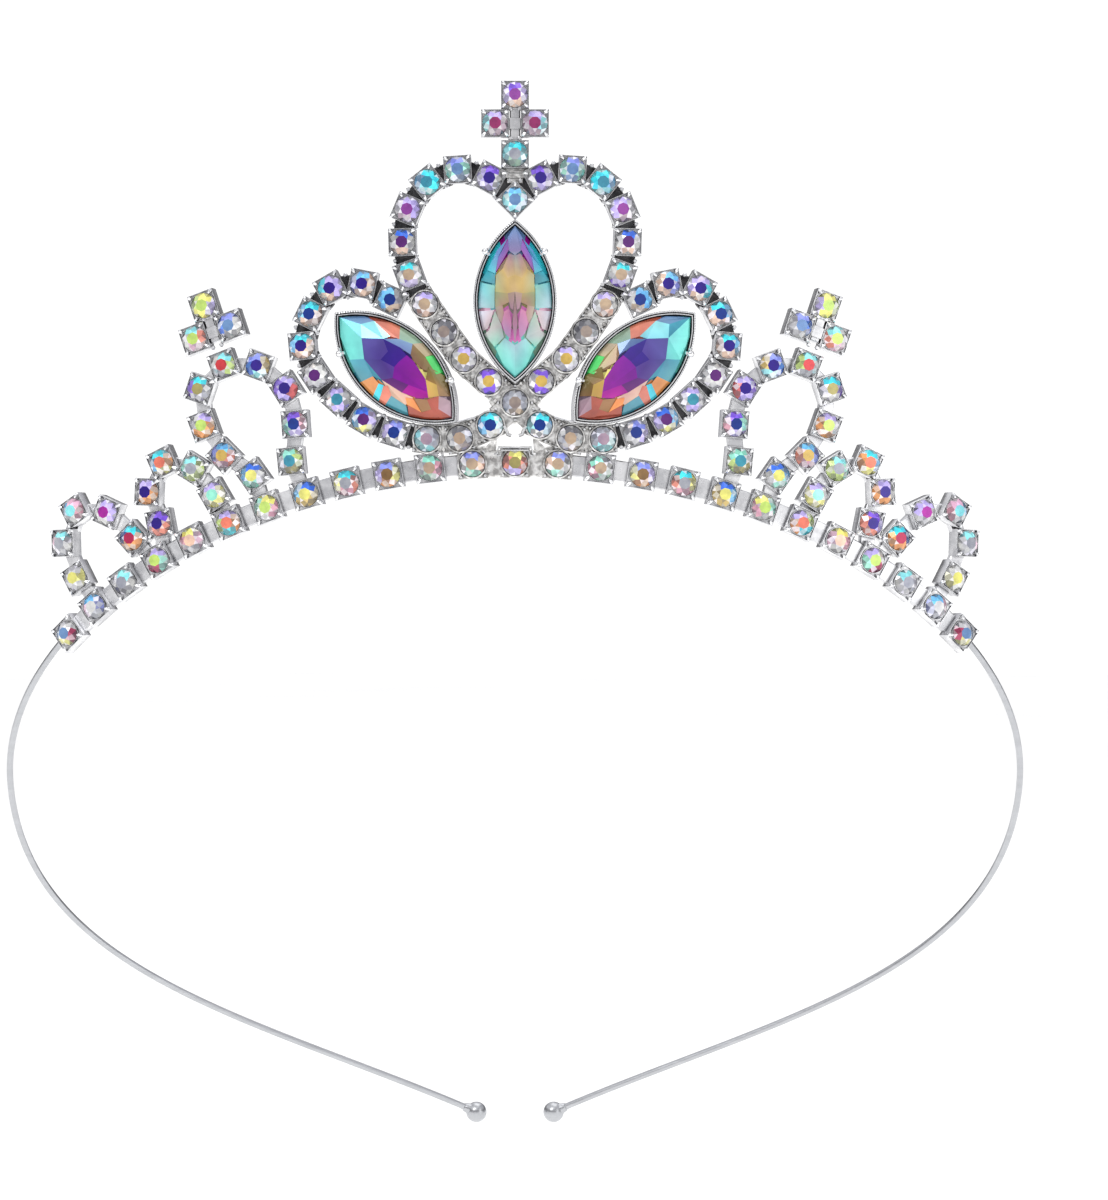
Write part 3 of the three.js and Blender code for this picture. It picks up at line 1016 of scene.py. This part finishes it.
def unit_outline():
    outline = pointed_oval(GEM["length"], GEM["width"], GEM["steps"])
    return [(x * 2 / GEM["width"], y * 2 / GEM["length"]) for x, y in outline]


def marquise_stone(name, place, patches, blend, seed):
    chance = random.Random(seed)
    made = Gathered()
    add_gem_body(made, place, patches)
    for colour, corners in patches:
        points = [gem_point(u, v) for u, v in corners]
        face = list(range(len(points)))
        area = sum(a[0] * b[1] - b[0] * a[1] for a, b in zip(points, points[1:] + points[:1]))
        if area < 0:
            face.reverse()
        tints = [corner_tint(colour, corners[i], patches, blend, chance) for i in face]
        made.add(points, [face], 0, place, [tints])
    return mesh_object(name, made, [MARQUISE_GLASS])


def read_patches(lines, side=1):
    patches = []
    for line in lines:
        colour, *corners = line.split()
        pairs = [corner.split(",") for corner in corners]
        patches.append((colour, [(side * int(u) / 100, int(v) / 100) for u, v in pairs]))
    return patches


def add_marquise_setting(name, place, prongs):
    """The walled tray with a thin milled rim, a gap round the stone painted dark as shade, and small
    ball prongs.
    """
    made = Gathered()
    # Painted light: the rim's top edges take the bright silver as highlights, the groove and the gap
    # round the stone the near-black as shade, and the walls the duller silver as shade.
    profile = [
        (0.5, -BEZEL["depth"], DULL_AND_SHADE),
        (0.0, -BEZEL["depth"] + 0.3, DULL_AND_SHADE),
        (0.0, 0.35, DULL_AND_SHADE),
        (0.06, 0.52, BRIGHT),
        (0.2, 0.56, PAINTED_SHADE),
        (0.26, 0.3, PAINTED_SHADE),
        (0.34, 0.3, DULL_AND_SHADE),
        (0.38, BEZEL["rim_top"], BRIGHT),
        (0.5, BEZEL["rim_top"], PAINTED_SHADE),
        (0.56, 0.2, PAINTED_SHADE),
        (0.6, -BEZEL["pocket"], PAINTED_SHADE),
    ]
    rings = []
    for inset, z, _ in profile:
        length = BEZEL["length"] - 2.6 * inset
        outline = pointed_oval(length, BEZEL["width"] - 2 * inset, BEZEL["steps"])
        rings.append([(x, y, z) for x, y in outline])
    made.ring_loft(rings, [band for _, _, band in profile[:-1]], place)
    for x, y in pointed_oval(BEZEL["length"] - 0.3, BEZEL["width"] - 0.24, MILLING["count"]):
        add_ball(made, (x, y, MILLING["height"]), MILLING["radius"], BRIGHT, place, across=6, up=4)
    for x, y in prongs:
        add_prong(made, x, y, place)
    finished_metal(f"{name}_bezel", made, f"{name}_setting")


def add_prong(gathered, x, y, place):
    """A ball on the bezel's rim with two smaller ones beside it, where the prong was soldered."""
    add_ball(gathered, (x, y, PRONG["height"]), PRONG["radius"], BRIGHT, place, across=12, up=8)
    inwards, apart = PRONG_SPREAD
    near = x - inwards if x > 0 else x + inwards
    for beside, radius in zip((-apart, apart), PRONG["small"]):
        add_ball(gathered, (near, y + beside, PRONG["small_height"]), radius, BRIGHT, place)


# --- Crosses ---

CROSS_BAR_LEVELS = [(-1.95, 0), (-0.45, 0), (-0.3, 0.15)]
BOSS = {"half_width": 0.72, "levels": (-1.0, -0.1)}
SOLDER = {"radius": 0.34, "aside": 0.62, "along": 2.0, "height": -0.3}


def add_cross_frame(name, place, with_foot):
    """The cups on a flat cross-shaped strap, with a boss in the middle and beads of solder."""
    made = Gathered()
    spots = cross_spots(place, with_foot)
    for spot in spots:
        add_cup(made, spot, CUP_WIDTH)
    half = CROSS["bar"] / 2
    bottom = -CROSS["foot"] if with_foot else -CROSS["short_foot"]
    bars = [(-half, half, bottom, CROSS["top"]), (-CROSS["reach"], CROSS["reach"], -half, half)]
    for x0, x1, y0, y1 in bars:
        rings = [box(x0 + s, x1 - s, y0 + s, y1 - s, z) for z, s in CROSS_BAR_LEVELS]
        made.ring_loft(rings, DULL_AND_SHADE, place)
    boss = BOSS["half_width"]
    made.ring_loft([box(-boss, boss, -boss, boss, z) for z in BOSS["levels"]], DULL_AND_SHADE, place)
    for x, y in ((1, 1), (-1, 1), (1, -1), (-1, -1)):
        spot = (x * SOLDER["aside"], y * SOLDER["along"], SOLDER["height"])
        add_ball(made, spot, SOLDER["radius"], BRIGHT, place)
    finished_metal(f"{name}_metal", made, name)


# --- Wire ---

WIRE_SIDES = 16
COLLAR = [(0.47, -2.1), (0.62, -1.9), (0.72, -1.5), (0.86, -1.15)]


def wire(name, points):
    made = Gathered()
    made.ring_loft(round_bar(points, WIRE_DIAMETER / 2, WIRE_SIDES, lambda _: Vector((0, 0, 1))))
    return mesh_object(name, made, [WIRE], 50)


def end_ball(name, side):
    """A polished ball with a short collar where the wire enters it."""
    before, end = arm_points(side)[-2:]
    outwards = (end - before).normalized()
    radius = BALL["diameter"] / 2
    centre = end + outwards * (radius - BALL["depth"] + GAP)
    turned = outwards.to_track_quat("Z", "Y").to_matrix().to_4x4()
    turned.translation = centre
    made = Gathered()
    add_ball(made, (0, 0, 0), radius, 0, turned, across=40, up=24)
    made.ring_loft([circle(r, z) for r, z in COLLAR], 0, turned)
    return mesh_object(name, made, [WIRE], 60)


# --- Assembly ---


def finished(piece, slot, body, *nodes):
    """Puts a piece on its body, in place of the CAD nodes that it stands for. The slot is not used."""
    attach(piece, body)
    if nodes:
        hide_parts(*nodes)


def finished_metal(name, gathered, node):
    finished(mesh_object(name, gathered, METALS, 40), "silver_plate", "tiara", node)


CROSSING = len(FLANK_LOOKS) + 1
HEART_CAST = range(7, 16)
CROWN_CAST = range(9, 12)
CENTRE_SEED = 7
SIDE_SEED = 11
seeds = iter(range(1, 1000))


def set_stone(name, place, words, side, *nodes):
    finished(round_stone(name, place, words, side, next(seeds)), "round_stone", "tiara", *nodes)


def build_base():
    places = base_places()
    middle = len(places) // 2
    chain = cup_chain(places, BASE_CUP_WIDTH, cast=range(middle - 1, middle + 2), link=WIDE_LINK)
    add_middle_frame(chain)
    finished_metal("base_chain_metal", chain, "base_cup_chain")
    for i, place in enumerate(places):
        side = 1 if i >= middle else -1
        set_stone(f"base_stone_{i + 1}", place, BASE_LOOKS[abs(i - middle)], side)


def add_plate(gathered, outline, back, front, material):
    """A flat plate on the face, from its outline in the front elevation, with bevelled front edges."""
    middle_x = sum(x for x, _ in outline) / len(outline)
    middle_z = sum(z for _, z in outline) / len(outline)
    rings = []
    for depth, size in ((back, 1.0), (front - 0.12, 1.0), (front, 0.94)):
        ring = []
        for x, z in outline:
            at = (middle_x + (x - middle_x) * size, middle_z + (z - middle_z) * size)
            ring.append(face_point(*at) + face_normal(at[0]) * depth)
        rings.append(ring)
    gathered.ring_loft(rings, material)


def add_crossing_web(gathered):
    """The casting between the crossing cup, the heart's flanks and the crown loops' ends."""
    web = [(0, 12.3), (-1.6, 11.6), (-3.5, 8.1), (-2, 6), (0, 5.2), (2, 6), (3.5, 8.1), (1.6, 11.6)]
    add_plate(gathered, web, -1.9, -0.45, GRAINY)
    for side in (1, -1):
        leaf = [(side * 1.5, 4.9), (side * 1.15, 4.35), (side * 0.95, 3.75), (side * 0.5, 3.6)]
        add_bar(gathered, [face_point(x, z) + Vector((0, -0.1, 0)) for x, z in leaf], 0.24, BRIGHT)
        brace = [(side * 9.2, 5.35), (side * 7.4, 5.5), (side * 5.2, 6.1)]
        add_bar(gathered, [face_point(x, z) + Vector((0, -0.05, 0)) for x, z in brace], 0.17, BRIGHT)


def add_shoulder_steps(gathered):
    """The layered plates between the cusp cup and the foot of the top cross."""
    for z, half, front in ((39.2, 1.9, -0.5), (38.5, 1.5, -0.35), (37.8, 1.1, -0.2)):
        step = [(-half, z), (half, z), (half, z - 0.55), (-half, z - 0.55)]
        add_plate(gathered, step, -1.9, front, GRAINY)


def add_middle_frame(gathered):
    """The raised double frame over the middle base cup."""
    for half, top, low in ((2.35, 2.05, 1.1), (1.95, 1.65, 0.9)):
        line = [(-half - 0.4, low), (-half, low + 0.1), (-half + 0.15, top), (half - 0.15, top)]
        line += [(half, low + 0.1), (half + 0.4, low)]
        add_bar(gathered, [face_point(x, z) + Vector((0, -0.12, 0)) for x, z in line], 0.15, BRIGHT)


def build_heart():
    places = heart_places()
    chain = cup_chain(places, CUP_WIDTH, HEART_CAST, closed=True, beads=True, link=CLOSE_LINK)
    add_edge_rails(chain, places[HEART_CAST.start:CROSSING])
    add_edge_rails(chain, places[CROSSING + 1:HEART_CAST.stop])
    add_crossing_web(chain)
    add_shoulder_steps(chain)
    finished_metal("heart_chain_metal", chain, "heart_cup_chain")
    looks = [CUSP_LOOK, *FLANK_LOOKS, CROSSING_LOOK, *reversed(FLANK_LOOKS)]
    for i, (place, words) in enumerate(zip(places, looks)):
        side = 1 if i <= CROSSING else -1
        set_stone(f"heart_gem_{i + 1}", place, words, side, f"heart_stone_{i + 1}")


def build_cross(name, place, looks, sides):
    """A cross with a stone in each cup; the fourth cup, if it has one, is its foot."""
    with_foot = len(looks) == 4
    add_cross_frame(name, place, with_foot)
    settings = zip(cross_spots(place, with_foot), looks, sides)
    for i, (spot, words, side) in enumerate(settings, 1):
        set_stone(f"{name}_gem_{i}", spot, words, side, f"{name}_stone_{i}")


def build_marquise(name, place, prongs, stone):
    add_marquise_setting(name, place, prongs)
    patches, blend, seed, slot = stone
    gem = marquise_stone(f"{name}_gem", place, patches, blend, seed)
    finished(gem, slot, "tiara", f"{name}_stone")


def build_centre():
    build_cross("top_cross", place_flat(TOP_CROSS, 1), TOP_CROSS_LOOKS, (1, 1, -1, 1))
    patches = read_patches(CENTRE_MIDDLE_PATCHES + CENTRE_SIDE_PATCHES)
    patches += read_patches(CENTRE_SIDE_PATCHES, -1)
    stone = patches, CENTRE_BLEND, CENTRE_SEED, "gold_marquise"
    build_marquise("centre_marquise", place_flat(CENTRE_MARQUISE, 1), CENTRE_PRONGS, stone)


def build_side_chain(side_name, side, name):
    places = chain_places(name, side)
    line = CHAINS[name]["line"]
    crown = name == "crown_loop"
    cast = CROWN_CAST if crown else ()
    chain = cup_chain(places, CUP_WIDTH, cast=cast, beads=crown, link=CLOSE_LINK if crown else LINK)
    if crown:
        add_edge_rails(chain, places[cast.start:])
        add_link(chain, places[-1], heart_places()[CROSSING], CUP_WIDTH, CAST_LINK, GRAINY)
        foot = [(2.4, 3.3), (3.7, 2.2), (9.5, 2.2), (13.5, 2.0), (13.5, 1.5), (2.6, 1.5)]
        add_plate(chain, [(side * x, z) for x, z in foot], -1.9, -0.45, GRAINY)
    else:
        for place, (x, z) in ((places[0], line[0]), (places[-1], line[-1])):
            add_foot(chain, place, face_point(side * x, z))
    finished_metal(f"{side_name}_{name}_metal", chain, f"{side_name}_{name}")
    for i, (place, words) in enumerate(zip(places, CHAIN_LOOKS[name])):
        set_stone(f"{side_name}_{name}_gem_{i + 1}", place, words, side)


def build_side_ornaments(side_name, side):
    """The leaning cross on the inner arch, and the tilted marquise in the crown loop."""
    parts = ["top", "outer", "inner"] if side > 0 else ["top", "inner", "outer"]
    looks = [SIDE_CROSS_LOOKS[part] for part in parts]
    build_cross(f"{side_name}_cross", place_flat(SIDE_CROSS, side), looks, [side] * 3)
    prongs = [(side * x, y) for x, y in SIDE_PRONGS]
    stone = read_patches(SIDE_PATCHES, -side), SIDE_BLEND, SIDE_SEED, "violet_marquise"
    build_marquise(f"{side_name}_marquise", place_flat(SIDE_MARQUISE, side), prongs, stone)


def build_wire():
    xs = np.linspace(-RAIL_END, RAIL_END, STEPS + 1)
    rail = wire("headband_rail_wire", [wire_behind(x, hoop_height(x)) for x in xs])
    finished(rail, "spring_wire", "tiara", "headband_front_rail")
    for side_name, side in SIDES.items():
        points = arm_points(side)
        arm = wire(f"{side_name}_arm_wire", points)
        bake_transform(arm)
        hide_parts(f"{side_name}_headband_arm")
        ball = end_ball(f"{side_name}_tip_ball", side)
        finished(ball, "spring_wire", f"{side_name}_arm", f"{side_name}_end_ball")


# In metres. The floor is under the end balls even when both arms are bent out.
FLOOR = {"height": -0.112, "half_width": 5.0}


def build_studio():
    half = FLOOR["half_width"]
    mesh = bpy.data.meshes.new("floor")
    mesh.from_pydata(box(-half, half, -half, half, FLOOR["height"]), [], [(0, 1, 2, 3)])
    mesh.materials.append(pale_floor())
    floor = bpy.data.objects.new("floor", mesh)
    bpy.context.scene.collection.objects.link(floor)


def add_light(name, location, size, power):
    """A soft lamp that points at the part's origin."""
    lamp = bpy.data.lights.new(name, "AREA")
    lamp.size = size
    lamp.energy = power
    made = bpy.data.objects.new(name, lamp)
    made.location = location
    made.rotation_euler = (-Vector(location)).to_track_quat("-Z", "Y").to_euler()
    bpy.context.scene.collection.objects.link(made)


def build_lights():
    """Places and sizes are in metres, powers in watts."""
    add_light("key", (-0.5, -0.9, 0.75), 0.5, 3)
    add_light("fill", (0.8, -0.7, 0.2), 0.6, 1.2)
    add_light("top", (0.1, 0.25, 0.95), 0.7, 1.6)


# How bright the reflected room is, from straight below (0) to straight above (1).
ROOM_BANDS = [
    (0.38, 0.36), (0.46, 0.84), (0.56, 0.76), (0.60, 0.22), (0.68, 0.18), (0.72, 0.8), (0.84, 1.1),
]
ROOM_WHITE = 1.12


def room_bands(n):
    split = n.add("ShaderNodeSeparateXYZ")
    n.link(n.at, split.inputs[0])
    lift = n.add("ShaderNodeMapRange")
    lift.inputs["From Min"].default_value = -1
    n.link(split.outputs["Z"], lift.inputs["Value"])
    bands = n.add("ShaderNodeValToRGB")
    stops = bands.color_ramp.elements
    stops[0].color = (0.26, 0.26, 0.27, 1)
    stops[1].color = (1.0, 1.0, 1.0, 1)
    for position, level in ROOM_BANDS:
        stops.new(position).color = (level, level, level * 1.02, 1)
    n.link(lift.outputs["Result"], bands.inputs["Fac"])
    return bands.outputs["Color"]


def build_world():
    """White to the camera; for reflections a soft room with darker bands, which shapes the metal."""
    world = bpy.data.worlds.new("studio")
    bpy.context.scene.world = world
    n = Nodes(world, "Generated")
    patchy = n.ramp(n.noise(2.4, 2.0), (0.52, 0.52, 0.55), (1, 1, 1), 0.42, 0.56)
    reflected = n.tree.nodes["Background"]
    reflected.inputs["Strength"].default_value = 1.0
    n.link(n.multiply(room_bands(n), patchy), reflected.inputs["Color"])
    seen = n.add("ShaderNodeBackground")
    seen.inputs["Color"].default_value = (1, 1, 1, 1)
    seen.inputs["Strength"].default_value = ROOM_WHITE
    choose = n.add("ShaderNodeMixShader")
    n.link(n.add("ShaderNodeLightPath").outputs["Is Glossy Ray"], choose.inputs["Fac"])
    n.link(seen.outputs[0], choose.inputs[1])
    n.link(reflected.outputs[0], choose.inputs[2])
    n.link(choose.outputs[0], n.tree.nodes["World Output"].inputs["Surface"])


# In metres, with the lens in millimetres and the shift as a share of the picture's longer side.
CAMERA = {"distance": 0.57605, "height": -0.01827, "lens": 129.83, "shift": 0.0325}


def build_camera():
    """A level long-lens view from the front, with the tiara a little left of the middle."""
    lens = bpy.data.cameras.new("camera")
    lens.sensor_width = 36
    lens.lens = CAMERA["lens"]
    lens.shift_x = CAMERA["shift"]
    camera = bpy.data.objects.new("camera", lens)
    camera.location = (0, -CAMERA["distance"] - BEHIND * MM, CAMERA["height"])
    camera.rotation_euler = (math.pi / 2, 0, 0)
    bpy.context.scene.collection.objects.link(camera)
    bpy.context.scene.camera = camera


build_base()
build_heart()
build_centre()
for side_name, side in SIDES.items():
    for chain_name in CHAINS:
        build_side_chain(side_name, side, chain_name)
    build_side_ornaments(side_name, side)
build_wire()
build_studio()
build_lights()
build_world()
build_camera()

bpy.context.scene.view_settings.view_transform = "Standard"
